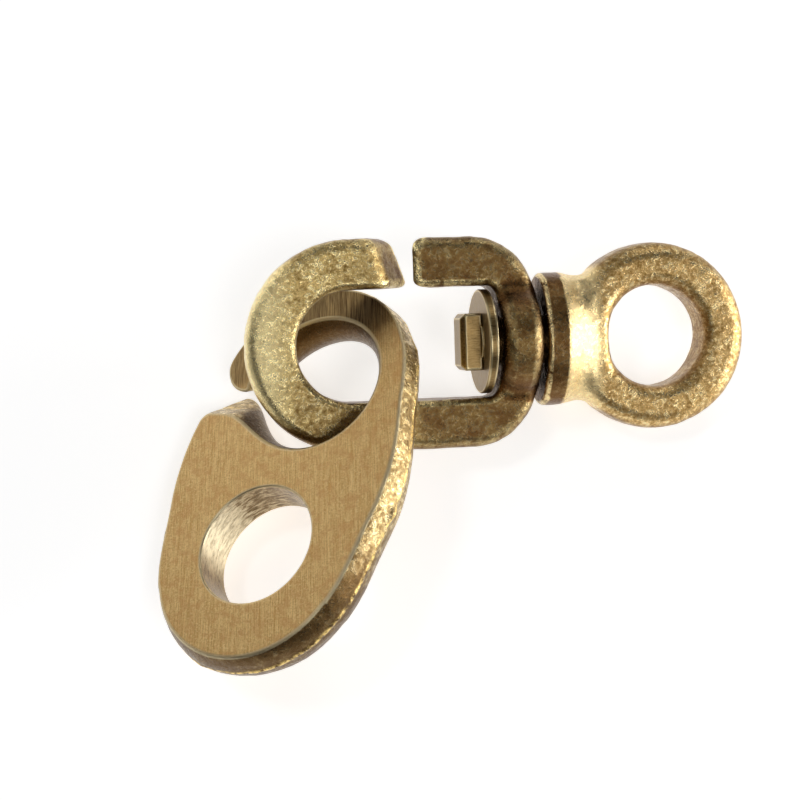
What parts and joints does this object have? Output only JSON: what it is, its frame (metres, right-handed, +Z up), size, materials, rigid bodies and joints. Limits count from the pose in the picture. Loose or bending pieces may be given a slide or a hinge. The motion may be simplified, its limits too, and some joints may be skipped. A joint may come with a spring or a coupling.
{
  "type": "swivel snap link with plain clip",
  "caption": "Pair of interlinked cast brass snap links: a slit bow with a swivelling eye, and a flat plate clip with a slit hook and a round hole.",
  "frame": {"origin": "middle of the pair's footprint, on the surface that it lies on", "axes": "+Z up from that surface; +X runs along the swivel clip from its bow towards its eye"},
  "size_m": [0.0714, 0.055, 0.0197],
  "materials": {
    "aged_cast_brass": "aged, grainy cast",
    "bright_cast_brass": "tumbled cast",
    "turned_brass": "turned",
    "milled_brass": "brushed"
  },
  "bodies": {
    "hook": {"hook_body": "aged_cast_brass"},
    "swivel": {"swivel_eye": "bright_cast_brass", "swivel_pin": "turned_brass"},
    "washer": {"retaining_washer": "turned_brass"},
    "clip": {"plain_clip": "milled_brass"}
  },
  "joints": [
    {"name": "swivel_spin", "type": "hinge", "parent": "hook", "child": "swivel", "pos_m": [0.00659, 0.01427, 0.00958], "axis": [0.9874, 0.0965, -0.1252], "continuous": true},
    {"name": "washer_spin", "type": "hinge", "parent": "hook", "child": "washer", "pos_m": [0.00239, 0.01386, 0.01011], "axis": [0.9874, 0.0965, -0.1252], "continuous": true},
    {"name": "clip_swing", "type": "hinge", "parent": "hook", "child": "clip", "pos_m": [-0.01652, 0.00739, 0.0091], "axis": [-0.4492, 0.2071, 0.8691], "range_deg": [-95, 60]}
  ]
}
